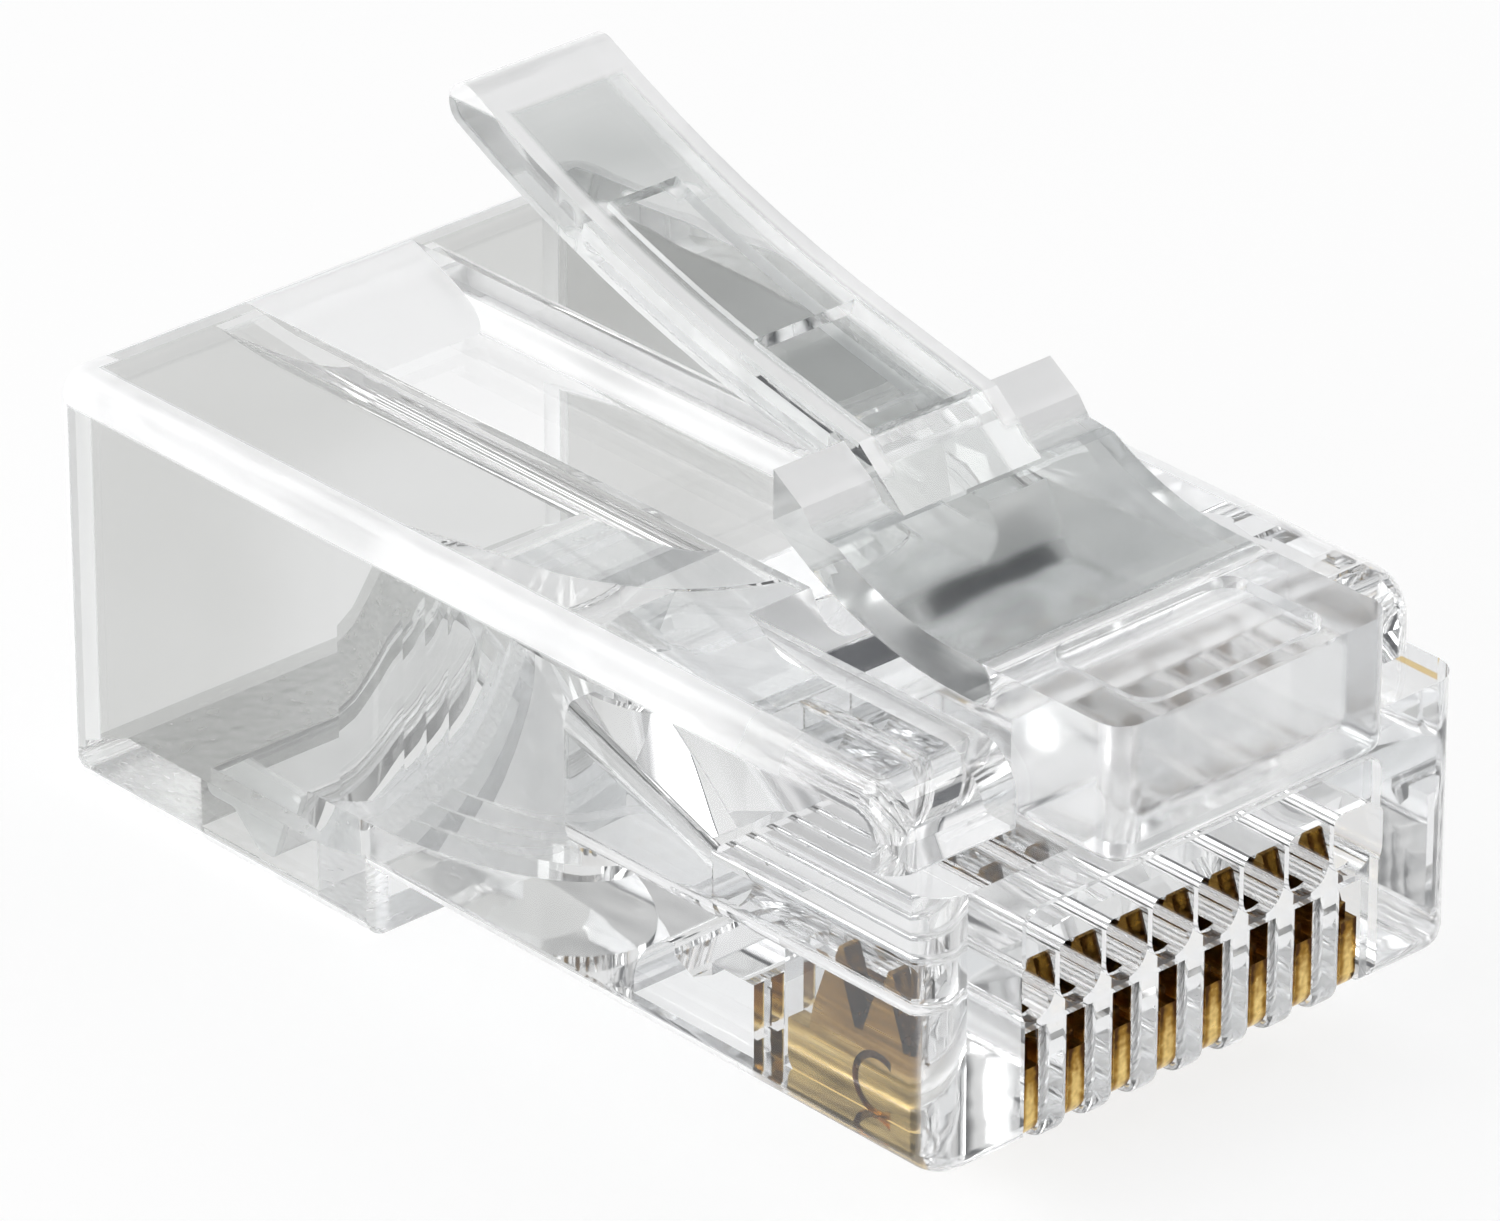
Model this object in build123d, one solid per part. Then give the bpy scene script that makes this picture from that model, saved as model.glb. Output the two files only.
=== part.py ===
from build123d import *
import os
from math import atan2, cos, degrees, radians, sin, tan

# Clear eight-way modular plug with its latch, its cable clamp bar and its eight
# gilded contact blades, as it is before a cable is fitted.
# Millimetres. X runs across the plug, Y along it with the nose towards -Y, Z up.
# Inside the functions a "station" is the distance behind the nose's front face.

# Overall sizes of the moulding
BODY_WIDTH = 11.68
BODY_LENGTH = 21.9
BODY_HEIGHT = 7.75
NOSE_HEIGHT = 6.5
FOOT_LENGTH = 8.05
ROOT_OVERHANG = 1.1

# Walls and edge radii of the moulding
SIDE_WALL = 0.85
TOP_WALL = 0.85
FLOOR_WALL = 1.05
NOSE_CORNER_RADIUS = 0.62
REAR_CORNER_RADIUS = 0.6
BOTTOM_EDGE_RADIUS = 0.42
TOP_EDGE_RADIUS = 0.5

# Contacts, their slots and the wire channels above them
CONTACT_COUNT = 8
CONTACT_PITCH = 1.02
BLADE_THICKNESS = 0.36
BLADE_CLEARANCE = 0.02
BLADE_RISE = 0.12
BLADE_LENGTH = 4.2
BLADE_SETBACK = 0.26
BLADE_EDGE_RADIUS = 0.4
BLADE_BODY_HEIGHT = 1.35
TOOTH_COUNT = 3
TOOTH_HEIGHT = 1.2
TOOTH_TIP_WIDTH = 0.1
TOOTH_FOOT_GAP = 0.18
BLADE_NOTCH_LENGTH = 0.5
BLADE_NOTCH_DEPTH = 0.32
COIN_RADIUS = 0.6
COIN_RING_WIDTH = 0.14
COIN_DEPTH = 0.08
COIN_STATION = 2.35
SLOT_WIDTH = BLADE_THICKNESS + 2 * BLADE_CLEARANCE
FIN_SETBACK = 0.2
FIN_DROP = 0.25
FIN_NOSE_RADIUS = 0.4
FIN_EDGE_RADIUS = 0.16
COMB_HALF_WIDTH = 3.95
COMB_HEIGHT = 4.25
COMB_CORNER_RADIUS = 0.3
SLOT_END_GAP = 0.05
CHANNEL_WIDTH = 0.92
CHANNEL_HEIGHT = 1.2
CHANNEL_FLOOR_ABOVE_BELLY = 2.1
CHANNEL_TOP_RADIUS = 0.16
BRIDGE_LENGTH = 0.5
BRIDGE_THICKNESS = 0.16

# Nose shelf, rails beside the latch and the latch's root block
SHELF_DEPTH = 1.4
SHELF_LENGTH = 1.05
RAIL_NOSE_RADIUS = 0.85
STRAP_WIDTH = 6.1
STRAP_SIDE_GAP = 0.15
WELL_END_STATION = 7.3
WELL_RAMP = 0.8
ROOT_LENGTH = 2.43
ROOT_HEIGHT = 2.5
ROOT_CORNER_RADIUS = 0.5
PANEL_WIDTH = 4.1
PANEL_LENGTH = 2.35
PANEL_DEPTH = 0.22
PANEL_STATION = 0.5

# Latch: strap from the living hinge to the shoulders, then the finger tab
STRAP_THICKNESS = 0.74
HINGE_STATION = 2.2
HINGE_GAP = 0.04
STRAP_FLAT = 0.3
STRAP_TOP_BEND_RADIUS = 5.7
STRAP_UNDER_BEND_RADIUS = 7.4
SHOULDER_STATION = 6.88
SHOULDER_RISE = 2.34
SHOULDER_LENGTH = 0.68
SHOULDER_SLOPE = 0.44
SHOULDER_FACE_LENGTH = 0.26
SHOULDER_FACE_HEIGHT = 0.33
STRAP_LEDGE = 0.58
TAB_WIDTH = 3.05
TAB_THICKNESS = 0.82
TAB_START_STATION = 5.9
TAB_START_RISE = 2.3
TAB_RAMP_START = 0.65
TAB_RAMP_ANGLE = 40.5
TAB_RAMP_DROP = 1.0
TAB_STRAIGHT = 3.2
TAB_ANGLE = 12.0
TAB_CURL_RADIUS = 27.0
TAB_CURL_ANGLE = 15.5
TRAY_WIDTH = 2.2
TRAY_LENGTH = 2.85
TRAY_DEPTH = 0.28
TRAY_START = 0.8
GROOVE_WIDTH = 1.5
GROOVE_DEPTH = 0.26
GROOVE_START = 1.6
GROOVE_CURL_ANGLE = 9.5

# Trough in the top face that the pressed tab drops into
TROUGH_WIDTH = 3.7
TROUGH_DEPTH = 0.85
TROUGH_CORNER_RADIUS = 0.5
TROUGH_WALL = 0.7
TROUGH_RAMP_LENGTH = 2.2

# Cable cavity with its stepped front, funnel and mouth
MOUTH_RAMP_LENGTH = 1.4
MOUTH_RAMP_DROP = 0.6
MOUTH_CHAMFER = 0.25
FOOT_FRONT_WALL = 0.7
ROOM_CORNER_RADIUS = 1.2
BELLY_WALL = 0.7
BOWL_FRONT_STATION = 9.9
BOWL_STEP_COUNT = 4
BOWL_STEP_HEIGHT = 0.45
BOWL_STEP_FORWARD = 0.4
BOWL_STEP_INSET = 0.14
CEILING_DROP_STATION = 12.2
CEILING_FRONT_STATION = 8.2
CEILING_DROP = 1.35
FUNNEL_START_STATION = 9.6
FUNNEL_END_STATION = 6.1
FUNNEL_HEIGHT = 2.6
FUNNEL_CORNER_RADIUS = 0.5
FUNNEL_MARGIN = 0.06
FUNNEL_SIDE_STEP = 0.4

# Pocket behind the contacts, with the conductor clamp's ridge in its roof
POCKET_STATION = 5.0
POCKET_LENGTH = 2.9
POCKET_WIDTH = 8.6
POCKET_DEPTH = 1.35
POCKET_REAR_RADIUS = 1.2
RIDGE_HEIGHT = 0.45
RIDGE_LENGTH = 0.9

# Cable clamp bar in its window through the foot
WINDOW_REAR_MARGIN = 3.15
WINDOW_LENGTH = 3.05
WINDOW_WIDTH = 9.2
BAR_SIDE_GAP = 0.08
BAR_HINGE_RADIUS = 0.2
BAR_HINGE_GAP = 0.06
BAR_FRONT_GAP = 0.75
BAR_CREST_RISE = 0.4
BAR_FOOT_LENGTH = 0.4
BAR_FOOT_CLEARANCE = 0.08
BAR_FOOT_SETBACK = 0.5
BAR_EDGE_RADIUS = 0.08

# Places worked out from the sizes above
HALF_WIDTH = BODY_WIDTH / 2
NOSE_FACE_Y = ROOT_OVERHANG - (BODY_LENGTH + ROOT_OVERHANG) / 2
BELLY_Z = BODY_HEIGHT - NOSE_HEIGHT
SHELF_Z = BODY_HEIGHT - SHELF_DEPTH
FOOT_STATION = BODY_LENGTH - FOOT_LENGTH
CAVITY_HALF_WIDTH = HALF_WIDTH - SIDE_WALL
WINDOW_STATION = BODY_LENGTH - WINDOW_REAR_MARGIN - WINDOW_LENGTH
CEILING_Z = BODY_HEIGHT - TOP_WALL
CHANNEL_FLOOR_Z = BELLY_Z + CHANNEL_FLOOR_ABOVE_BELLY
CHANNEL_TOP_Z = CHANNEL_FLOOR_Z + CHANNEL_HEIGHT
BRIDGE_Z = CHANNEL_FLOOR_Z - BRIDGE_THICKNESS
FIN_LOW_Z = BELLY_Z - FIN_DROP
WELL_HALF_WIDTH = STRAP_WIDTH / 2 + STRAP_SIDE_GAP
ROOT_TOP_Z = SHELF_Z + ROOT_HEIGHT
ROOT_REAR_STATION = ROOT_LENGTH - ROOT_OVERHANG
HINGE_Z = ROOT_TOP_Z - STRAP_THICKNESS / 2
SLOT_END_STATION = BLADE_SETBACK + BLADE_LENGTH + SLOT_END_GAP
# Longer than any cut needs, so that a cutting tool clears the surface it opens
BEYOND = 1.0
# How far a joined form runs into its neighbour, and how near two places count as one
OVERLAP = 0.1
NEAR = 0.01


def box_between(x_min, x_max, y_min, y_max, z_min, z_max):
    centre = ((x_min + x_max) / 2, (y_min + y_max) / 2, (z_min + z_max) / 2)
    return Pos(*centre) * Box(x_max - x_min, y_max - y_min, z_max - z_min)


def side_slab(outline, half_width):
    """A side outline of (station, height) points, carried across the plug."""
    return extrude(Plane.YZ * Polygon(*outline, align=None), amount=half_width, both=True)


def lengthwise(section, start, end):
    """A cross-section drawn in (across, height), carried from one station to another."""
    plane = Plane(origin=(0, start, 0), x_dir=(1, 0, 0), z_dir=(0, -1, 0))
    return extrude(plane * section, amount=start - end)


def contact_places():
    first = -(CONTACT_COUNT - 1) / 2 * CONTACT_PITCH
    return [first + number * CONTACT_PITCH for number in range(CONTACT_COUNT)]


def edges_along(solid, axis, test):
    return [edge for edge in solid.edges().filter_by(axis) if test(edge.center())]


def make_blank():
    """The solid outer form: nose, shelf, rails and the deeper foot."""
    outline = [
        (0, BELLY_Z),
        (FOOT_STATION, BELLY_Z),
        (FOOT_STATION, 0),
        (BODY_LENGTH, 0),
        (BODY_LENGTH, BODY_HEIGHT),
        (SHELF_LENGTH, BODY_HEIGHT),
        (SHELF_LENGTH, SHELF_Z),
        (0, SHELF_Z),
    ]
    blank = side_slab(outline, HALF_WIDTH)
    rail_nose = edges_along(
        blank, Axis.X, lambda c: abs(c.Y - SHELF_LENGTH) < NEAR and abs(c.Z - BODY_HEIGHT) < NEAR
    )
    blank = fillet(rail_nose, RAIL_NOSE_RADIUS)
    nose_corners = edges_along(blank, Axis.Z, lambda c: abs(c.Y) < NEAR)
    blank = fillet(nose_corners, NOSE_CORNER_RADIUS)
    rear_corners = edges_along(blank, Axis.Z, lambda c: abs(c.Y - BODY_LENGTH) < NEAR)
    blank = fillet(rear_corners, REAR_CORNER_RADIUS)
    rear_top = edges_along(
        blank, Axis.X, lambda c: abs(c.Y - BODY_LENGTH) < NEAR and abs(c.Z - BODY_HEIGHT) < NEAR
    )
    blank = fillet(rear_top, TOP_EDGE_RADIUS)
    long_edges = edges_along(
        blank, Axis.Y, lambda c: abs(abs(c.X) - HALF_WIDTH) < NEAR and abs(c.Z - SHELF_Z) > NEAR
    )
    return fillet(long_edges, BOTTOM_EDGE_RADIUS)


def make_latch_well():
    """The room between the rails, under the latch strap and its shoulders."""
    outline = [
        (-BEYOND, SHELF_Z),
        (WELL_END_STATION - WELL_RAMP, SHELF_Z),
        (WELL_END_STATION, BODY_HEIGHT + NEAR),
        (WELL_END_STATION, BODY_HEIGHT + BEYOND),
        (-BEYOND, BODY_HEIGHT + BEYOND),
    ]
    return side_slab(outline, WELL_HALF_WIDTH)


def make_trough(extra=0.0):
    """The tab's trough, level from the latch well and sloping out at the rear edge."""
    start = WELL_END_STATION - WELL_RAMP - extra
    end = BODY_LENGTH - TOP_EDGE_RADIUS
    floor_z = BODY_HEIGHT - TROUGH_DEPTH - extra
    radius = TROUGH_CORNER_RADIUS + extra
    height = TROUGH_DEPTH + extra + 2 * radius
    section = RectangleRounded(TROUGH_WIDTH + 2 * extra, height, radius)
    trough = lengthwise(Pos(0, floor_z + height / 2) * section, start, end + extra)
    ramp = side_slab(
        [
            (end - TROUGH_RAMP_LENGTH, floor_z - NEAR),
            (end + extra, BODY_HEIGHT - extra),
            (end + extra + BEYOND, BODY_HEIGHT - extra),
            (end + extra + BEYOND, floor_z - NEAR),
        ],
        TROUGH_WIDTH,
    )
    return trough - ramp


def make_root():
    """The latch's root block on the nose, with the lug that carries the living hinge."""
    block = box_between(
        -STRAP_WIDTH / 2, STRAP_WIDTH / 2, -ROOT_OVERHANG, ROOT_REAR_STATION, SHELF_Z, ROOT_TOP_Z
    )
    front_corners = edges_along(block, Axis.Z, lambda c: c.Y < 0)
    block = fillet(front_corners, ROOT_CORNER_RADIUS)
    front_low = block.faces().sort_by(Axis.Y)[0].edges().sort_by(Axis.Z)[0]
    block = fillet(front_low, ROOT_CORNER_RADIUS / 2)
    panel = box_between(
        -PANEL_WIDTH / 2,
        PANEL_WIDTH / 2,
        PANEL_STATION - PANEL_LENGTH / 2,
        PANEL_STATION + PANEL_LENGTH / 2,
        ROOT_TOP_Z - PANEL_DEPTH,
        ROOT_TOP_Z + BEYOND,
    )
    panel = fillet(panel.edges().filter_by(Axis.Z), 2 * PANEL_DEPTH)
    lug = box_between(
        -STRAP_WIDTH / 2,
        STRAP_WIDTH / 2,
        ROOT_REAR_STATION - OVERLAP,
        HINGE_STATION,
        ROOT_TOP_Z - STRAP_THICKNESS,
        ROOT_TOP_Z,
    )
    seat = Pos(0, HINGE_STATION, HINGE_Z) * Rot(0, 90, 0) * Cylinder(
        STRAP_THICKNESS / 2 + HINGE_GAP, STRAP_WIDTH + BEYOND
    )
    return block + lug - panel - seat


def make_channels():
    """The eight wire channels, open at the nose face and into the funnel."""
    radius = CHANNEL_WIDTH / 2
    upright = Pos(0, (CHANNEL_HEIGHT + radius) / 2) * Rectangle(CHANNEL_WIDTH, CHANNEL_HEIGHT - radius)
    upright = fillet(upright.vertices().group_by(Axis.Y)[-1], CHANNEL_TOP_RADIUS)
    section = upright + Pos(0, radius) * Circle(radius)
    channel = lengthwise(Pos(0, CHANNEL_FLOOR_Z) * section, -BEYOND, FUNNEL_END_STATION + FUNNEL_MARGIN)
    return [Pos(place, 0, 0) * channel for place in contact_places()]


def make_comb_room():
    """The room that the fins stand in, with a shallow recess round their front ends."""
    half = contact_places()[-1] + SLOT_WIDTH / 2
    room = box_between(-half, half, -BEYOND, SLOT_END_STATION, FIN_LOW_Z - BEYOND, BRIDGE_Z)
    recess = box_between(
        -COMB_HALF_WIDTH, COMB_HALF_WIDTH, -BEYOND, FIN_SETBACK, FIN_LOW_Z - BEYOND, BELLY_Z + COMB_HEIGHT
    )
    top_corners = edges_along(recess, Axis.Y, lambda c: c.Z > BELLY_Z)
    return room + fillet(top_corners, COMB_CORNER_RADIUS)


def make_fins():
    """The seven fins between the blades, rounded in front and along their lower edges."""
    half = (CONTACT_PITCH - SLOT_WIDTH) / 2
    end = SLOT_END_STATION + OVERLAP
    fin = box_between(-half, half, FIN_SETBACK, end, FIN_LOW_Z, CHANNEL_FLOOR_Z)
    nose = edges_along(fin, Axis.X, lambda c: c.Y < FIN_SETBACK + NEAR and c.Z < FIN_LOW_Z + NEAR)
    fin = fillet(nose, FIN_NOSE_RADIUS)
    outer = []
    for edge in fin.edges():
        middle = edge.center()
        on_side = abs(abs(middle.X) - half) < NEAR
        low_or_front = middle.Z < FIN_LOW_Z + NEAR or middle.Y < FIN_SETBACK + FIN_NOSE_RADIUS
        if on_side and low_or_front and middle.Z < CHANNEL_FLOOR_Z - NEAR:
            outer.append(edge)
    fin = fillet(outer, FIN_EDGE_RADIUS)
    return [Pos(place + CONTACT_PITCH / 2, 0, 0) * fin for place in contact_places()[:-1]]


def make_slots():
    """The upper part of each blade slot, behind the bridge at the nose, up into the channel."""
    half = SLOT_WIDTH / 2
    into_channel = CHANNEL_FLOOR_Z + CHANNEL_WIDTH / 2
    slot = box_between(-half, half, BRIDGE_LENGTH, SLOT_END_STATION, BRIDGE_Z - OVERLAP, into_channel)
    return [Pos(place, 0, 0) * slot for place in contact_places()]


def make_cavity():
    """The cable's room: a box at the rear, a stepped round front, and a sloping ceiling."""
    ceiling = side_slab(
        [
            (BODY_LENGTH + BEYOND, FLOOR_WALL),
            (BODY_LENGTH + BEYOND, CEILING_Z),
            (CEILING_DROP_STATION, CEILING_Z),
            (CEILING_FRONT_STATION, CEILING_Z - CEILING_DROP),
            (CEILING_FRONT_STATION, FLOOR_WALL),
        ],
        CAVITY_HALF_WIDTH,
    )
    rear_end = BODY_LENGTH + BEYOND
    room_start = FOOT_STATION + FOOT_FRONT_WALL
    room = box_between(
        -CAVITY_HALF_WIDTH, CAVITY_HALF_WIDTH, room_start, rear_end, FLOOR_WALL, BODY_HEIGHT
    )
    room = fillet(edges_along(room, Axis.Z, lambda c: c.Y < room_start + NEAR), ROOM_CORNER_RADIUS)
    for step in range(BOWL_STEP_COUNT):
        half = CAVITY_HALF_WIDTH - step * BOWL_STEP_INSET
        centre = BOWL_FRONT_STATION - step * BOWL_STEP_FORWARD + half
        floor = BELLY_Z + BELLY_WALL + step * BOWL_STEP_HEIGHT
        plan = Pos(0, centre) * Circle(half)
        plan += Pos(0, (centre + rear_end) / 2) * Rectangle(2 * half, rear_end - centre)
        room += extrude(Pos(0, 0, floor) * plan, amount=BODY_HEIGHT)
    room = room & ceiling
    return room - make_trough(TROUGH_WALL)


def make_mouth():
    """The ramp in the floor at the cable end, and the chamfer round the other edges."""
    ramp = side_slab(
        [
            (BODY_LENGTH - MOUTH_RAMP_LENGTH, FLOOR_WALL),
            (BODY_LENGTH, FLOOR_WALL - MOUTH_RAMP_DROP),
            (BODY_LENGTH + BEYOND, FLOOR_WALL - MOUTH_RAMP_DROP),
            (BODY_LENGTH + BEYOND, FLOOR_WALL + BEYOND),
            (BODY_LENGTH - MOUTH_RAMP_LENGTH, FLOOR_WALL + BEYOND),
        ],
        CAVITY_HALF_WIDTH,
    )
    low = FLOOR_WALL - MOUTH_RAMP_DROP
    high = CEILING_Z
    width = 2 * CAVITY_HALF_WIDTH
    inner = Plane(origin=(0, BODY_LENGTH - MOUTH_CHAMFER, (low + high) / 2), x_dir=(1, 0, 0), z_dir=(0, 1, 0))
    outer = Plane(origin=(0, BODY_LENGTH, (low + high) / 2), x_dir=(1, 0, 0), z_dir=(0, 1, 0))
    flare = loft(
        [
            inner * Rectangle(width, high - low),
            outer * Rectangle(width + 2 * MOUTH_CHAMFER, high - low + 2 * MOUTH_CHAMFER),
        ]
    )
    return ramp + flare


def make_funnel():
    """The taper that leads the eight wires from the cable's room into the channels."""
    channel_span = (CONTACT_COUNT - 1) * CONTACT_PITCH + CHANNEL_WIDTH
    wide = 2 * (CAVITY_HALF_WIDTH - BOWL_STEP_COUNT * BOWL_STEP_INSET) - FUNNEL_SIDE_STEP
    low = CHANNEL_FLOOR_Z - FUNNEL_MARGIN
    rear_centre = low + FUNNEL_HEIGHT / 2
    front_centre = (CHANNEL_FLOOR_Z + CHANNEL_TOP_Z) / 2
    rear = Plane(origin=(0, FUNNEL_START_STATION, rear_centre), x_dir=(1, 0, 0), z_dir=(0, 1, 0))
    front = Plane(origin=(0, FUNNEL_END_STATION, front_centre), x_dir=(1, 0, 0), z_dir=(0, 1, 0))
    return loft(
        [
            rear * RectangleRounded(wide, FUNNEL_HEIGHT, FUNNEL_CORNER_RADIUS),
            front * RectangleRounded(
                channel_span + 2 * FUNNEL_MARGIN,
                CHANNEL_HEIGHT + 2 * FUNNEL_MARGIN,
                CHANNEL_WIDTH / 2,
            ),
        ]
    )


def make_pocket():
    """The pocket in the belly behind the blades, its rear end rolled, a ridge in its roof."""
    end = POCKET_STATION + POCKET_LENGTH
    top = BELLY_Z + POCKET_DEPTH
    pocket = box_between(
        -POCKET_WIDTH / 2, POCKET_WIDTH / 2, POCKET_STATION, end, BELLY_Z - BEYOND, top
    )
    rear_roof = edges_along(pocket, Axis.X, lambda c: c.Y > end - NEAR and c.Z > top - NEAR)
    pocket = fillet(rear_roof, POCKET_REAR_RADIUS)
    middle = POCKET_STATION + POCKET_LENGTH / 2
    ridge = side_slab(
        [
            (middle - RIDGE_LENGTH / 2, top + OVERLAP),
            (middle - RIDGE_LENGTH / 2, top - RIDGE_HEIGHT / 2),
            (middle, top - RIDGE_HEIGHT),
            (middle + RIDGE_LENGTH / 2, top - RIDGE_HEIGHT / 2),
            (middle + RIDGE_LENGTH / 2, top + OVERLAP),
        ],
        POCKET_WIDTH / 2,
    )
    return pocket - ridge


def make_housing():
    housing = make_blank() - make_latch_well() - make_trough()
    housing -= make_cavity()
    housing -= make_mouth()
    housing -= make_funnel()
    housing -= make_pocket()
    housing -= box_between(
        -WINDOW_WIDTH / 2,
        WINDOW_WIDTH / 2,
        WINDOW_STATION,
        WINDOW_STATION + WINDOW_LENGTH,
        -BEYOND,
        FLOOR_WALL + NEAR,
    )
    housing -= make_comb_room()
    for fin in make_fins():
        housing += fin
    for cutter in make_channels() + make_slots():
        housing -= cutter
    return housing + make_root()


def make_blade():
    """One contact blade: contact edge below, piercing teeth above, a coined ring on its side."""
    front = BLADE_SETBACK
    rear = BLADE_SETBACK + BLADE_LENGTH
    low = FIN_LOW_Z + BLADE_RISE
    shoulder = low + BLADE_BODY_HEIGHT
    tip = shoulder + TOOTH_HEIGHT + BRIDGE_THICKNESS
    tooth_start = BRIDGE_LENGTH + BLADE_CLEARANCE
    pitch = (rear - BLADE_NOTCH_LENGTH - tooth_start) / TOOTH_COUNT
    valley = shoulder + BRIDGE_THICKNESS
    outline = [(rear, low), (front, low), (front, shoulder), (tooth_start, shoulder), (tooth_start, valley)]
    for tooth in range(TOOTH_COUNT):
        start = tooth_start + tooth * pitch
        middle = start + pitch / 2
        outline += [
            (start + TOOTH_FOOT_GAP / 2, valley),
            (middle - TOOTH_TIP_WIDTH / 2, tip),
            (middle + TOOTH_TIP_WIDTH / 2, tip),
            (start + pitch - TOOTH_FOOT_GAP / 2, valley),
        ]
    outline += [
        (rear - BLADE_NOTCH_LENGTH, shoulder - BLADE_NOTCH_DEPTH),
        (rear, shoulder - BLADE_NOTCH_DEPTH),
    ]
    blade = side_slab(outline, BLADE_THICKNESS / 2)
    low_edges = edges_along(blade, Axis.X, lambda c: c.Z < low + NEAR)
    blade = fillet(low_edges, BLADE_EDGE_RADIUS)
    ring = Cylinder(COIN_RADIUS, 2 * COIN_DEPTH) - Cylinder(COIN_RADIUS - COIN_RING_WIDTH, 2 * COIN_DEPTH)
    ring = Rot(0, 90, 0) * ring
    ring -= box_between(-BEYOND, BEYOND, -COIN_RADIUS / 2 - BEYOND, -COIN_RADIUS / 2, -BEYOND, BEYOND)
    ring_z = low + BLADE_BODY_HEIGHT / 2
    return blade - Pos(-BLADE_THICKNESS / 2, COIN_STATION, ring_z) * ring


def make_strap():
    """The strap from the living hinge up to the shoulders that catch in the socket."""
    top = ROOT_TOP_Z
    under = ROOT_TOP_Z - STRAP_THICKNESS
    bend = HINGE_STATION + STRAP_FLAT
    kink = SHOULDER_STATION - SHOULDER_LENGTH
    ledge_end = kink - SHOULDER_FACE_LENGTH
    ledge_start = ledge_end - STRAP_LEDGE
    top_z = top + STRAP_TOP_BEND_RADIUS * (
        1 - cos(radians(bend_angle(ledge_start - bend, STRAP_TOP_BEND_RADIUS)))
    )
    under_z = under + STRAP_UNDER_BEND_RADIUS * (
        1 - cos(radians(bend_angle(SHOULDER_STATION - bend, STRAP_UNDER_BEND_RADIUS)))
    )
    shoulder_z = under + SHOULDER_RISE
    top_arc = bend_arc(bend, top, STRAP_TOP_BEND_RADIUS, ledge_start - bend)
    under_arc = bend_arc(bend, under, STRAP_UNDER_BEND_RADIUS, SHOULDER_STATION - bend)
    rim = Polyline(
        (ledge_start, top_z),
        (ledge_end, shoulder_z - SHOULDER_SLOPE - SHOULDER_FACE_HEIGHT),
        (kink, shoulder_z - SHOULDER_SLOPE),
        (SHOULDER_STATION, shoulder_z),
        (SHOULDER_STATION, under_z),
    )
    front = Polyline((bend, under), (HINGE_STATION, under), (HINGE_STATION, top), (bend, top))
    outline = make_face(Wire([*front.edges(), *top_arc.edges(), *rim.edges(), *under_arc.edges()]))
    strap = extrude(Plane.YZ * outline, amount=STRAP_WIDTH / 2, both=True)
    knuckle = Pos(0, HINGE_STATION, HINGE_Z) * Rot(0, 90, 0) * Cylinder(STRAP_THICKNESS / 2, STRAP_WIDTH)
    return strap + knuckle


def bend_angle(run, radius):
    """The turn, in degrees, of an arc that leaves level and covers a run at its radius."""
    return degrees(atan2(run, (radius**2 - run**2) ** 0.5))


def bend_arc(start, height, radius, run):
    """An upward bend that leaves the level at a station and covers a run."""
    turn = radians(bend_angle(run, radius))
    middle = (start + radius * sin(turn / 2), height + radius * (1 - cos(turn / 2)))
    end = (start + radius * sin(turn), height + radius * (1 - cos(turn)))
    return ThreePointArc((start, height), middle, end)


def tab_point(distance, drop):
    """A point on the tab's straight part, at a distance along its top and a drop below it."""
    slope = radians(TAB_ANGLE)
    top_z = ROOT_TOP_Z - STRAP_THICKNESS + TAB_START_RISE
    y = TAB_START_STATION + distance * cos(slope) + drop * sin(slope)
    z = top_z + distance * sin(slope) - drop * cos(slope)
    return y, z


def tab_line(start, drop, curl_angle):
    """The tab's line at a drop below its top: straight, then curling up about one centre."""
    straight = Line(tab_point(start, drop), tab_point(TAB_STRAIGHT, drop))
    curl = JernArc(
        start=tab_point(TAB_STRAIGHT, drop),
        tangent=(cos(radians(TAB_ANGLE)), sin(radians(TAB_ANGLE))),
        radius=TAB_CURL_RADIUS + drop,
        arc_size=curl_angle,
    )
    return straight, curl


def make_tab():
    """The finger tab, sloped at its root, rounded at its tip and hollowed along its underside."""
    straight, curl = tab_line(0, TAB_THICKNESS / 2, TAB_CURL_ANGLE)
    path = Wire([straight.edge(), curl.edge()])
    outline = make_face(path.offset_2d(TAB_THICKNESS / 2, kind=Kind.ARC, side=Side.BOTH))
    tab = extrude(Plane.YZ * outline, amount=TAB_WIDTH / 2, both=True)
    roof = tab_line(GROOVE_START, TAB_THICKNESS - GROOVE_DEPTH, GROOVE_CURL_ANGLE)
    below = tab_line(GROOVE_START, TAB_THICKNESS + BEYOND, GROOVE_CURL_ANGLE)
    ends = [
        Line(roof[0] @ 0, below[0] @ 0),
        Line(roof[1] @ 1, below[1] @ 1),
    ]
    outline = make_face(Wire([line.edge() for line in [*roof, *below, *ends]]))
    groove = extrude(Plane.YZ * outline, amount=GROOVE_WIDTH / 2, both=True)
    crest_y, crest_z = tab_point(TAB_RAMP_START, 0)
    foot_y = crest_y - TAB_RAMP_DROP / tan(radians(TAB_RAMP_ANGLE))
    foot_z = crest_z - TAB_RAMP_DROP
    wedge = side_slab([(foot_y, foot_z), (crest_y, crest_z), (crest_y, foot_z)], TAB_WIDTH / 2)
    above_ramp = side_slab(
        [
            (foot_y - BEYOND, foot_z),
            (foot_y, foot_z),
            (crest_y, crest_z),
            (crest_y, crest_z + BEYOND),
            (foot_y - BEYOND, crest_z + BEYOND),
        ],
        TAB_WIDTH,
    )
    return tab + wedge - above_ramp - groove


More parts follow.
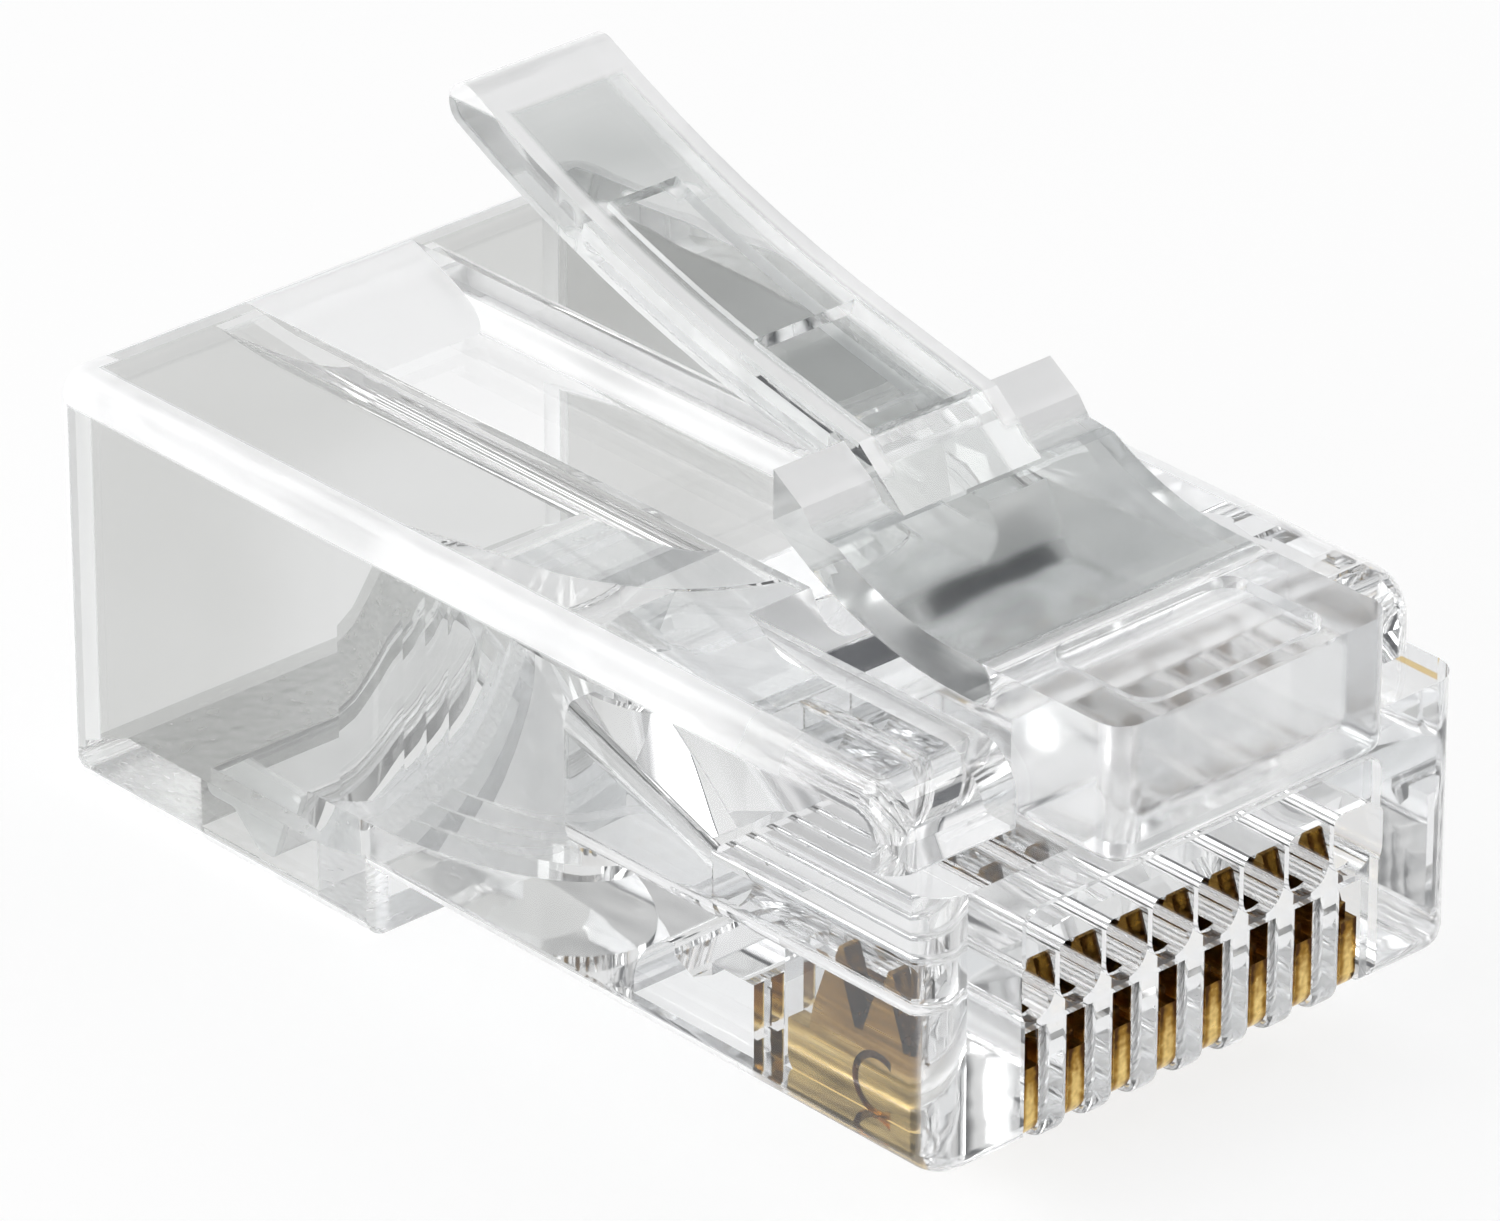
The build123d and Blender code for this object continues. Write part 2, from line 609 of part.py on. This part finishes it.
def make_tray():
    """The shallow tray in the top of the tab, behind the shoulders."""
    return side_slab(
        [
            tab_point(TRAY_START, -BEYOND),
            tab_point(TRAY_START, TRAY_DEPTH),
            tab_point(TRAY_START + TRAY_LENGTH, TRAY_DEPTH),
            tab_point(TRAY_START + TRAY_LENGTH, -BEYOND),
        ],
        TRAY_WIDTH / 2,
    )


def make_latch():
    return make_strap() + make_tab() - make_tray()


def make_clamp_bar():
    """The bar that the crimping tool folds up against the cable, hinged at its rear edge."""
    half = WINDOW_WIDTH / 2 - BAR_SIDE_GAP
    hinge_station = WINDOW_STATION + WINDOW_LENGTH - BAR_HINGE_RADIUS - BAR_HINGE_GAP
    hinge_z = FLOOR_WALL - BAR_HINGE_RADIUS
    crest_z = FLOOR_WALL + BAR_CREST_RISE
    front = WINDOW_STATION + BAR_FRONT_GAP
    foot = front + BAR_FOOT_SETBACK
    outline = [
        (hinge_station, FLOOR_WALL),
        (hinge_station - BAR_FOOT_SETBACK, crest_z),
        (front, crest_z - BAR_EDGE_RADIUS),
        (foot, BAR_FOOT_CLEARANCE),
        (foot + BAR_FOOT_LENGTH, BAR_FOOT_CLEARANCE),
        (hinge_station - BAR_FOOT_SETBACK, hinge_z - BAR_HINGE_RADIUS),
        (hinge_station, hinge_z - BAR_HINGE_RADIUS),
    ]
    bar = side_slab(outline, half)
    rounded = edges_along(bar, Axis.X, lambda c: c.Y < foot + BAR_FOOT_LENGTH + NEAR)
    bar = fillet(rounded, BAR_EDGE_RADIUS)
    knuckle = Pos(0, hinge_station, hinge_z) * Rot(0, 90, 0) * Cylinder(BAR_HINGE_RADIUS, 2 * half)
    return bar + knuckle


def write(name, solid):
    placed = Pos(0, NOSE_FACE_Y, 0) * solid
    solids = placed.solids()
    shape = solids[0] if len(solids) == 1 else Compound(children=solids)
    export_step(shape, f"parts/{name}.step")


def main():
    os.makedirs("parts", exist_ok=True)
    write("housing", make_housing())
    write("latch", make_latch())
    write("cable_clamp_bar", make_clamp_bar())
    for number, place in enumerate(contact_places(), start=1):
        write(f"contact_{number}", Pos(place, 0, 0) * make_blade())


main()
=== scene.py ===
from functools import reduce
from math import cos, radians, sin

import bpy
from mathutils import Matrix, Vector

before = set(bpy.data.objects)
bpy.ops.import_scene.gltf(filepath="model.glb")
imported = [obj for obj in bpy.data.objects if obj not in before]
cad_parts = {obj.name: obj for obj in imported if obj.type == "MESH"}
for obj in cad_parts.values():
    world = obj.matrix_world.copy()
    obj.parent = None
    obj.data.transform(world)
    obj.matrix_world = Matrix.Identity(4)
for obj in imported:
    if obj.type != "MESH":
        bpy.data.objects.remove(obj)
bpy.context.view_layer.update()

MM = 0.001

# Camera: where it stands, which way it looks, and its focal length in the image's own pixels
CAMERA_PLACE = Vector((-107.14, -117.40, 88.57)) * MM
CAMERA_AZIMUTH = radians(-42.29)
CAMERA_ELEVATION = radians(27.60)
CAMERA_REACH = (0.005, 20)
FOCAL_PIXELS = 10849.7
IMAGE_WIDTH = 1500
SENSOR_WIDTH = 36.0

# Lamps: name, place, width, height and power, all turned to the middle of the plug
LAMP_TARGET = Vector((0, 0, 0.004))
LAMPS = (
    ("key_softbox", (-0.12, 0.22, 0.34), 0.30, 0.22, 0.78),
    ("left_softbox", (-0.34, 0.02, 0.16), 0.20, 0.26, 0.72),
    ("right_strip", (0.26, -0.16, 0.20), 0.10, 0.30, 0.4),
)
# The room's tones along one direction, from 0, overhead and front left, to 1, low and rear right
WORLD_DIRECTION = (0.35, 0.45, -0.8)
WORLD_BANDS = (
    (0.16, (0.03, 0.032, 0.036)),
    (0.22, (0.90, 0.90, 0.90)),
    (0.30, (0.90, 0.90, 0.90)),
    (0.36, (0.06, 0.063, 0.07)),
    (0.50, (0.08, 0.085, 0.095)),
    (0.58, (0.97, 0.97, 0.97)),
)

FLOOR_HALF_SIDE = 3.0
FLOOR_GAP = 0.02 * MM
FLOOR_COLOUR = (0.94, 0.94, 0.94, 1)
FLOOR_ROUGHNESS = 0.6
FLOOR_SHINE = 0.1
FLOOR_WHITE_SHARE = 0.8

# Clear plastic: its optics, the tint that each wall adds with a deeper grey at the rear as painted
# shade, how milky and rough each finish is, and the white milk of edges and trough as painted
# highlight
PLASTIC_IOR = 1.585
PLASTIC_SHINE = 0.25
PLASTIC_SHADOW = (0.86, 0.865, 0.87, 1)
# Painted highlight: the white of the milky edges and the trough floor
HIGHLIGHT_WHITE = (0.98, 0.98, 0.98)
NOSE_TINT = (0.87, 0.877, 0.883)
# Painted shade: the rear's deeper grey stands in for a dimmer surrounding seen through the walls
REAR_SHADE_TINT = (0.62, 0.625, 0.615)
REAR_SHADE_SHARE = 0.8
CLOUD_SHARE = 0.2
TROUGH_HIGHLIGHT = 0.95
EDGE_HIGHLIGHT_MILK = (0.7, 0.45)
NOSE_HIGHLIGHT_SHARE = 0.15
ROOT_MILK = 0.10
SAND_MILK = 0.12
EDGE_ROUGHNESS = 0.3
ROOT_ROUGHNESS = 0.13
SAND_ROUGHNESS = 0.25
WELL_ROUGHNESS = 0.12
FRONT_ROUGHNESS = 0.05
HAZE_ROUGHNESS = 0.03
NOSE_WAVE = 0.12
REAR_WAVE = 0.04
SAND_WAVE = 0.25

# Painted highlight: the white of the latch's milky edges
LATCH_HIGHLIGHT_WHITE = (0.95, 0.95, 0.95)
LATCH_PALE_TINT = (0.70, 0.715, 0.71)
LATCH_DEEP_TINT = (0.58, 0.595, 0.59)
LATCH_HIGHLIGHT_MILK = 0.8
TAB_PALENESS = 0.6
STRAP_ROUGHNESS = 0.14

BAR_DEEP_TINT = (0.84, 0.845, 0.845)
BAR_PALE_TINT = (0.92, 0.925, 0.925)
BAR_END_MILK = 0.6
BAR_HAZE = 0.93
BAR_ROUGHNESS = 0.05

# How far a face is turned for a finish, painted shade and painted highlight to begin and be full:
# a part of its normal, and for rounded faces the sum of the fourth powers of all three
FLAT_SUM = (0.85, 0.97)
LEVEL_FACE, SLOPING_FACE, FORWARD_FACE = (0.9, 0.98), (0.3, 0.6), (-0.95, -0.85)
TAB_UPRIGHT, GROOVE_UPRIGHT = (0.3, 0.6), (0.6, 0.9)
FLARE_UNDERSIDE, STRAP_UNDERSIDE = (-0.2, 0.3), (-0.5, 0.0)
BLADE_SIDE_FACE, BLADE_FRONT_FACE = (-0.9, -0.7), (-0.9, -0.5)

# Noise: cycles to a metre, and the values between which a finish and a painted highlight begin and
# are full
CLOUD_SCALE = 420
SAND_SCALE = 3800
BAR_CLOUD_SCALE = 700
FLARE_SCALE = 1300
BRUSH_STRETCH = (7000, 500, 7000)
HIGHLIGHT_MILK_CLOUDS, HAZE_CLOUDS, FLARE_CLOUDS = (0.4, 0.7), (0.6, 0.8), (0.42, 0.52)
BAR_MILK_CLOUDS, BAR_HAZE_CLOUDS = (0.55, 0.75), (0.55, 0.8)
BRUSH_LINES = (0.2, 0.8)

# Heights of the bumps
HOUSING_BUMP = 0.06 * MM
LATCH_BUMP = 0.04 * MM
BAR_BUMP = 0.01 * MM
GOLD_BUMP = 0.006 * MM
GOLD_BUMP_STRENGTH = 0.5

# Where each finish, painted shade and painted highlight begins and is full, in millimetres: out
# from the middle, back along the plug from -10.4 at the nose to 11.5 at the mouth, or up from the
# floor
ROOT_SIDE, ROOT_REAR, ROOT_FOOT = (3.08, 3.14), (-9.1, -8.5), (6.36, 6.5)
SAND_TOP = (1.1, 1.3)
CEILING = (6.78, 6.86)
WALL_MIDDLE = (5.15, 5.25)
HIGHLIGHT_MILK_START = (-8.5, -5)
RAIL_SIDE, RAIL_FOOT = (5.2, 5.3), (7.1, 7.2)
RIM_START, RIM_FOOT = (11.3, 11.35), (0.2, 0.3)
MOUTH_START, MOUTH_INNER_SIDE, MOUTH_OUTER_SIDE = (10.8, 10.85), (4.8, 4.9), (5.3, 5.4)
TROUGH_SIDE, TROUGH_FOOT = (1.83, 1.87), (6.1, 6.2)
OUTER_SIDE, OUTER_TOP = (5.6, 5.7), (7.5, 7.6)
REAR_SHADE_START = (4, 8)
OUTER_SHADE_LEAD = 9
WELL_SIDE, WELL_REAR, WELL_FOOT, WELL_TOP = (3.25, 3.35), (-3.1, -2.9), (5.9, 6.0), (7.2, 7.3)
FRONT_SIDE, FRONT_REAR = (4.0, 4.1), (-10.2, -10.1)
NOSE_WAVE_END = (-4, -1)
TAB_EDGE_SIDE, TAB_START, TAB_TIP = (1.12, 1.3), (-4.5, -4.3), (13.18, 13.28)
FLARE_START, FLARE_END = (2.5, 2.9), (3.3, 3.5)
PALE_START, PALE_END = (-1.3, -0.9), (2.9, 3.5)
STRAP_END = (-5.0, -4.7)
BAR_END = (4.3, 4.45)
BLADE_TOP = (1.7, 2.6)

# Gold: tones from a painted-shade brown to a painted bright reflection, and how they run over a
# blade
CONTACT_PITCH = 1.02 * MM
CONTACT_COUNT = 8
GOLD_AND_PAINTED_LIGHT_TONES = (
    (0.0, (0.06, 0.022, 0.004)),
    (0.35, (0.30, 0.16, 0.025)),
    (0.85, (0.85, 0.62, 0.24)),
)
BLADE_FOOT_PAINTED_REFLECTION = 0.85
BLADE_TOP_PAINTED_SHADE = 0.3
RING_START = (-0.165, -0.13)
FRONT_MARGIN = (0.04, 0.15)
FRONT_MIDDLE_PAINTED_SHADE = 0.2
PAINTED_SHADE_DEPTH = 0.5
BRUSH_DEPTH = 0.7
BRUSH_ROUGHNESS = (0.08, 0.3)

# Light crosses many walls of clear plastic before it leaves, so its paths are long
MAX_BOUNCES = 24
GLOSSY_BOUNCES = 16
TRANSMISSION_BOUNCES = 20


class Graph:
    """Adds shader nodes to one tree and joins them."""

    def __init__(self, tree):
        self.nodes, self.links = tree.nodes, tree.links

    def put(self, socket, value):
        """Links an output to the socket, or writes a plain value on it."""
        if isinstance(value, bpy.types.NodeSocket):
            self.links.new(value, socket)
        else:
            socket.default_value = value

    def node(self, kind, inputs=None, **settings):
        made = self.nodes.new("ShaderNode" + kind)
        for key, value in settings.items():
            setattr(made, key, value)
        for key, value in (inputs or {}).items():
            self.put(made.inputs[key], value)
        return made

    def math(self, operation, *values):
        made = self.node("Math", operation=operation)
        for socket, value in zip(made.inputs, values):
            self.put(socket, value)
        return made.outputs[0]

    def total(self, *values):
        return reduce(lambda left, right: self.math("ADD", left, right), values)

    def product(self, *values):
        return reduce(lambda left, right: self.math("MULTIPLY", left, right), values)

    def highest(self, *values):
        return reduce(lambda left, right: self.math("MAXIMUM", left, right), values)

    def remainder(self, value):
        """What is left of 1."""
        return self.math("SUBTRACT", 1, value)

    def vector(self, operation, first, second):
        made = self.node("VectorMath", {0: first, 1: second}, operation=operation)
        return made.outputs["Value" if operation == "DOT_PRODUCT" else "Vector"]

    def axes(self, vector):
        """The x, y and z of a vector."""
        return self.node("SeparateXYZ", {0: vector}).outputs

    def step(self, value, start, end, low=0.0, high=1.0):
        """Goes smoothly from low to high as the value goes from start to end."""
        limits = {"Value": value, "From Min": start, "From Max": end, "To Min": low, "To Max": high}
        return self.node("MapRange", limits, interpolation_type="SMOOTHSTEP").outputs["Result"]

    def past(self, value, border, low=0.0, high=1.0):
        """0 before a border given in millimetres, 1 past it."""
        return self.step(value, border[0] * MM, border[1] * MM, low, high)

    def before(self, value, border):
        """1 before a border given in millimetres, 0 past it."""
        return self.past(value, border, 1, 0)

    def noise(self, place, scale, detail):
        inputs = {"Vector": place, "Scale": scale, "Detail": detail}
        return self.node("TexNoise", inputs).outputs["Fac"]

    def colours(self, value, *stops):
        """A colour ramp through (position, colour) stops."""
        ramp = self.node("ValToRGB", {"Fac": value})
        elements = ramp.color_ramp.elements
        while len(elements) < len(stops):
            elements.new(0.5)
        for element, (position, colour) in zip(elements, stops):
            element.position = position
            element.color = (*colour, 1)
        return ramp.outputs["Color"]

    def either(self, share, first, second):
        """Sends out the first shader, and the second by its share."""
        mix = self.node("MixShader", {0: share, 1: first.outputs[0], 2: second.outputs[0]})
        self.put(self.nodes["Material Output"].inputs["Surface"], mix.outputs[0])

    def bump(self, shader, height, distance, strength=1.0):
        inputs = {"Strength": strength, "Distance": distance, "Height": height}
        self.put(shader.inputs["Normal"], self.node("Bump", inputs).outputs["Normal"])

    def rounding(self):
        """1 where the surface is rounded or slanted, 0 where it faces along an axis."""
        normal = self.node("NewGeometry").outputs["Normal"]
        squared = self.vector("MULTIPLY", normal, normal)
        fourth = self.vector("DOT_PRODUCT", squared, squared)
        return self.step(fourth, *FLAT_SUM, 1, 0)

    def facing(self):
        """The x, y and z of the face's normal, on the side from which light meets it."""
        return self.axes(self.node("NewGeometry").outputs["True Normal"])

    def outward(self):
        """The same, but always out of the solid."""
        geometry = self.node("NewGeometry").outputs
        turn = self.remainder(self.product(geometry["Backfacing"], 2))
        inputs = {0: geometry["True Normal"], "Scale": turn}
        return self.axes(self.node("VectorMath", inputs, operation="SCALE").outputs["Vector"])


def start_material(name):
    """A new material with its node graph and its Principled shader."""
    material = bpy.data.materials.new(name)
    material.use_nodes = True
    graph = Graph(material.node_tree)
    return material, graph, graph.nodes["Principled BSDF"]


def make_camera():
    """The camera looks down at the nose and the left side of the plug."""
    a, e = CAMERA_AZIMUTH, CAMERA_ELEVATION
    back = Vector((sin(a) * cos(e), -cos(a) * cos(e), sin(e)))
    right = Vector((0, 0, 1)).cross(back).normalized()
    up = back.cross(right)
    data = bpy.data.cameras.new("camera")
    data.sensor_width = SENSOR_WIDTH
    data.lens = FOCAL_PIXELS / IMAGE_WIDTH * SENSOR_WIDTH
    data.clip_start, data.clip_end = CAMERA_REACH
    camera = bpy.data.objects.new("camera", data)
    bpy.context.scene.collection.objects.link(camera)
    axes = Matrix((right, up, back)).transposed().to_4x4()
    camera.matrix_world = Matrix.Translation(CAMERA_PLACE) @ axes
    bpy.context.scene.camera = camera


def make_world():
    """A pale studio: white low down, with darker and brighter bands that the walls mirror."""
    world = bpy.data.worlds.new("studio")
    bpy.context.scene.world = world
    world.use_nodes = True
    world.node_tree.nodes.clear()
    graph = Graph(world.node_tree)
    direction = graph.node("TexCoord").outputs["Generated"]
    lean = graph.vector("DOT_PRODUCT", direction, WORLD_DIRECTION)
    share = graph.node("MapRange", {"Value": lean, "From Min": -1, "From Max": 1})
    colour = graph.colours(share.outputs["Result"], *WORLD_BANDS)
    light = graph.node("Background", {"Color": colour, "Strength": 1.0})
    graph.node("OutputWorld", {"Surface": light.outputs[0]})


def make_lamp(name, place, width, height, power):
    data = bpy.data.lights.new(name, "AREA")
    data.shape = "RECTANGLE"
    data.size = width
    data.size_y = height
    data.energy = power
    lamp = bpy.data.objects.new(name, data)
    bpy.context.scene.collection.objects.link(lamp)
    back = (Vector(place) - LAMP_TARGET).normalized()
    turn = back.to_track_quat("Z", "Y").to_matrix().to_4x4()
    lamp.matrix_world = Matrix.Translation(place) @ turn


def make_floor():
    """One wide pale sheet under the plug, mostly white by itself, so that its shadow is faint."""
    half = FLOOR_HALF_SIDE
    mesh = bpy.data.meshes.new("floor")
    corners = [(-half, -half, 0), (half, -half, 0), (half, half, 0), (-half, half, 0)]
    mesh.from_pydata(corners, [], [(0, 1, 2, 3)])
    floor = bpy.data.objects.new("floor", mesh)
    bpy.context.scene.collection.objects.link(floor)
    floor.location.z = -FLOOR_GAP

    material, graph, shader = start_material("pale_floor")
    shader.inputs["Base Color"].default_value = FLOOR_COLOUR
    shader.inputs["Roughness"].default_value = FLOOR_ROUGHNESS
    shader.inputs["Specular IOR Level"].default_value = FLOOR_SHINE
    ray = graph.node("LightPath").outputs
    seen = graph.highest(ray["Is Camera Ray"], ray["Is Glossy Ray"], ray["Is Transmission Ray"])
    white = graph.node("Emission", {"Color": (1, 1, 1, 1), "Strength": 1.0})
    graph.either(graph.product(seen, FLOOR_WHITE_SHARE), shader, white)
    mesh.materials.append(material)


def start_plastic(name):
    """Clear plastic that lets most light through to its shadow. Its finish is still to be fed."""
    material, graph, shader = start_material(name)
    shader.inputs["IOR"].default_value = PLASTIC_IOR
    shader.inputs["Specular IOR Level"].default_value = PLASTIC_SHINE
    shadow = graph.node("BsdfTransparent", {"Color": PLASTIC_SHADOW})
    graph.either(graph.node("LightPath").outputs["Is Shadow Ray"], shader, shadow)
    return material, graph, shader


def make_housing_plastic():
    """Greyer rear walls as painted shade, white milky edges and trough as painted highlight, a
    frosted latch root and a sandy cable floor.
    """
    material, graph, shader = start_plastic("clear_housing")
    place = graph.node("TexCoord").outputs["Object"]
    x, y, z = graph.axes(place)
    side = graph.math("ABSOLUTE", x)
    facing = graph.facing()

    sandy = graph.product(graph.step(facing[2], *LEVEL_FACE), graph.before(z, SAND_TOP))
    cloud = graph.noise(place, graph.total(CLOUD_SCALE, graph.product(sandy, SAND_SCALE)), 0)
    root = graph.product(
        graph.before(side, ROOT_SIDE), graph.before(y, ROOT_REAR), graph.past(z, ROOT_FOOT)
    )

    # Painted highlight, white and milky: the rounded outer edges, the long rails, the rim of the
    # mouth and the walls' inner ends
    outside = graph.highest(graph.past(side, WALL_MIDDLE), graph.past(z, CEILING))
    edge_highlight = graph.highest(
        graph.product(graph.past(side, RAIL_SIDE), graph.past(z, RAIL_FOOT)),
        graph.product(graph.rounding(), outside),
        graph.product(graph.past(y, RIM_START), graph.past(z, RIM_FOOT)),
        graph.product(
            graph.past(y, MOUTH_START),
            graph.past(side, MOUTH_INNER_SIDE),
            graph.before(side, MOUTH_OUTER_SIDE),
        ),
    )
    behind = graph.past(y, HIGHLIGHT_MILK_START, NOSE_HIGHLIGHT_SHARE, 1)

    # Painted shade: the outer faces take the deeper grey from the middle back, the inner ones only
    # at the rear
    outer = graph.highest(graph.past(side, OUTER_SIDE), graph.past(z, OUTER_TOP))
    rear_shade = graph.past(graph.total(y, graph.product(outer, OUTER_SHADE_LEAD * MM)), REAR_SHADE_START)
    # Painted highlight: the edges and the trough floor pale towards white
    trough = graph.product(graph.before(side, TROUGH_SIDE), graph.past(z, TROUGH_FOOT))
    pale = graph.highest(edge_highlight, graph.product(trough, TROUGH_HIGHLIGHT))
    shade = graph.total(graph.product(rear_shade, REAR_SHADE_SHARE), graph.product(cloud, CLOUD_SHARE))
    shade = graph.product(shade, graph.remainder(pale))
    # Painted highlight in white, the nose's own tint, and painted shade in the rear's deeper grey
    tints = (0.0, HIGHLIGHT_WHITE), (0.1, NOSE_TINT), (0.9, REAR_SHADE_TINT)
    graph.put(shader.inputs["Base Color"], graph.colours(shade, *tints))

    # Milky frosting on the root and the sandy floor; on the edges the milk is a painted highlight
    frost_and_highlight = graph.total(
        graph.product(root, ROOT_MILK),
        graph.product(sandy, SAND_MILK),
        graph.product(edge_highlight, behind, graph.step(cloud, *HIGHLIGHT_MILK_CLOUDS, *EDGE_HIGHLIGHT_MILK)),
    )
    graph.put(shader.inputs["Transmission Weight"], graph.remainder(frost_and_highlight))

    # The floor of the well under the strap, and the front faces beside the blades
    well = graph.product(
        graph.before(side, WELL_SIDE),
        graph.before(y, WELL_REAR),
        graph.past(z, WELL_FOOT),
        graph.before(z, WELL_TOP),
        graph.remainder(root),
        graph.step(facing[2], *SLOPING_FACE),
    )
    front = graph.product(
        graph.step(facing[1], *FORWARD_FACE, 1, 0),
        graph.past(side, FRONT_SIDE),
        graph.before(y, FRONT_REAR),
    )
    rough = graph.total(
        graph.product(root, ROOT_ROUGHNESS),
        graph.product(sandy, SAND_ROUGHNESS),
        graph.product(edge_highlight, behind, EDGE_ROUGHNESS),
        graph.step(cloud, *HAZE_CLOUDS, 0, HAZE_ROUGHNESS),
        graph.product(well, WELL_ROUGHNESS),
        graph.product(front, FRONT_ROUGHNESS),
    )
    graph.put(shader.inputs["Roughness"], rough)

    wave = graph.past(y, NOSE_WAVE_END, NOSE_WAVE, REAR_WAVE)
    wave = graph.total(wave, root, graph.product(sandy, SAND_WAVE))
    graph.bump(shader, graph.product(cloud, wave), HOUSING_BUMP)
    return material


def make_latch_plastic():
    """The same plastic for the latch: a deeper tint, wavier, and painted highlights, milky and
    white, along the tab's edges.
    """
    material, graph, shader = start_plastic("clear_latch")
    place = graph.node("TexCoord").outputs["Object"]
    x, y, z = graph.axes(place)
    side = graph.math("ABSOLUTE", x)
    normal = graph.outward()
    sideways = graph.math("ABSOLUTE", normal[0])
    cloud = graph.noise(place, CLOUD_SCALE, 1)

    # Painted highlights, milky and white: the tab's long edges, the sides of its tray and groove,
    # its tip and a crumpled flare
    on_tab = graph.past(y, TAB_START)
    edge_highlight = graph.highest(
        graph.product(
            graph.past(side, TAB_EDGE_SIDE), on_tab, graph.step(sideways, *TAB_UPRIGHT, 1, 0)
        ),
        graph.product(
            graph.before(side, TAB_EDGE_SIDE), on_tab, graph.step(sideways, *GROOVE_UPRIGHT)
        ),
        graph.past(z, TAB_TIP),
        graph.product(
            graph.past(y, FLARE_START),
            graph.before(y, FLARE_END),
            graph.step(graph.noise(place, FLARE_SCALE, 1), *FLARE_CLOUDS),
            graph.step(normal[2], *FLARE_UNDERSIDE, 1, 0),
        ),
    )
    pale = graph.product(graph.past(y, PALE_START), graph.before(y, PALE_END), TAB_PALENESS)
    tint = graph.product(cloud, graph.remainder(graph.highest(edge_highlight, pale)))
    # Painted highlight in white, then the latch's paler and deeper tints
    tints = (0.0, LATCH_HIGHLIGHT_WHITE), (0.3, LATCH_PALE_TINT), (0.7, LATCH_DEEP_TINT)
    graph.put(shader.inputs["Base Color"], graph.colours(tint, *tints))
    clear = graph.remainder(graph.product(edge_highlight, LATCH_HIGHLIGHT_MILK))
    graph.put(shader.inputs["Transmission Weight"], clear)

    under_strap = graph.step(normal[2], *STRAP_UNDERSIDE, 1, 0)
    rough = graph.total(
        graph.product(under_strap, graph.before(y, STRAP_END), STRAP_ROUGHNESS),
        graph.step(cloud, *HAZE_CLOUDS, 0, HAZE_ROUGHNESS),
    )
    graph.put(shader.inputs["Roughness"], rough)
    graph.bump(shader, cloud, LATCH_BUMP)
    return material


def make_bar_plastic():
    """The same plastic for the clamp bar, with milky ends and a faint haze in patches."""
    material, graph, shader = start_plastic("clear_bar")
    place = graph.node("TexCoord").outputs["Object"]
    side = graph.math("ABSOLUTE", graph.axes(place)[0])
    cloud = graph.noise(place, BAR_CLOUD_SCALE, 1)
    tint = graph.colours(cloud, (0.3, BAR_DEEP_TINT), (0.7, BAR_PALE_TINT))
    graph.put(shader.inputs["Base Color"], tint)
    ends = graph.past(side, BAR_END, 1, 1 - BAR_END_MILK)
    clear = graph.product(ends, graph.step(cloud, *BAR_MILK_CLOUDS, 1, BAR_HAZE))
    graph.put(shader.inputs["Transmission Weight"], clear)
    rough = graph.step(cloud, *BAR_HAZE_CLOUDS, 0, BAR_ROUGHNESS)
    graph.put(shader.inputs["Roughness"], rough)
    graph.bump(shader, cloud, BAR_BUMP)
    return material


def make_gold():
    """Gold plate on bronze, brushed, with a painted reflection low down and painted shade at the
    teeth, in front and in the coined ring.
    """
    material, graph, shader = start_material("gilded_contact")
    shader.inputs["Metallic"].default_value = 1.0
    place = graph.node("TexCoord").outputs["Object"]
    x, _, z = graph.axes(place)
    facing = graph.facing()
    along = graph.node("Mapping", {"Vector": place, "Scale": BRUSH_STRETCH}).outputs["Vector"]
    brush = graph.noise(along, 1, 1)

    # Across one blade, from its middle at 0, in pitches
    pitches = graph.math("FRACT", graph.math("DIVIDE", x, CONTACT_PITCH))
    within = graph.math("SUBTRACT", pitches, 0.5)
    # Painted shade: darker in the recess of the coined ring on the blade's side, and on the front
    # faces, most at their edges
    ring_shade = graph.product(
        graph.step(within, *RING_START), graph.step(facing[0], *BLADE_SIDE_FACE, 1, 0)
    )
    front = graph.product(
        graph.step(facing[1], *BLADE_FRONT_FACE, 1, 0),
        graph.step(graph.math("ABSOLUTE", within), *FRONT_MARGIN, FRONT_MIDDLE_PAINTED_SHADE, 1),
    )
    painted_shade = graph.product(graph.highest(ring_shade, front), PAINTED_SHADE_DEPTH)
    # Painted light: a painted reflection brightens the blade low down, painted shade darkens it
    # near the top
    height = graph.past(z, BLADE_TOP, BLADE_FOOT_PAINTED_REFLECTION, BLADE_TOP_PAINTED_SHADE)
    streaks = graph.product(graph.math("SUBTRACT", brush, 0.5), BRUSH_DEPTH)
    tone = graph.total(graph.math("SUBTRACT", height, painted_shade), streaks)
    graph.put(shader.inputs["Base Color"], graph.colours(tone, *GOLD_AND_PAINTED_LIGHT_TONES))
    graph.put(shader.inputs["Roughness"], graph.step(brush, *BRUSH_LINES, *BRUSH_ROUGHNESS))
    graph.bump(shader, brush, GOLD_BUMP, GOLD_BUMP_STRENGTH)
    return material


def dress(node, material):
    """Gives a CAD node its material."""
    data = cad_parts[node].data
    data.materials.clear()
    data.materials.append(material)


make_camera()
make_world()
make_floor()
for lamp in LAMPS:
    make_lamp(*lamp)

dress("housing", make_housing_plastic())
dress("latch", make_latch_plastic())
dress("cable_clamp_bar", make_bar_plastic())
gold = make_gold()
for number in range(1, CONTACT_COUNT + 1):
    dress(f"contact_{number}", gold)

cycles = bpy.context.scene.cycles
cycles.max_bounces = MAX_BOUNCES
cycles.glossy_bounces = GLOSSY_BOUNCES
cycles.transmission_bounces = TRANSMISSION_BOUNCES

bpy.context.scene.view_settings.view_transform = "Standard"
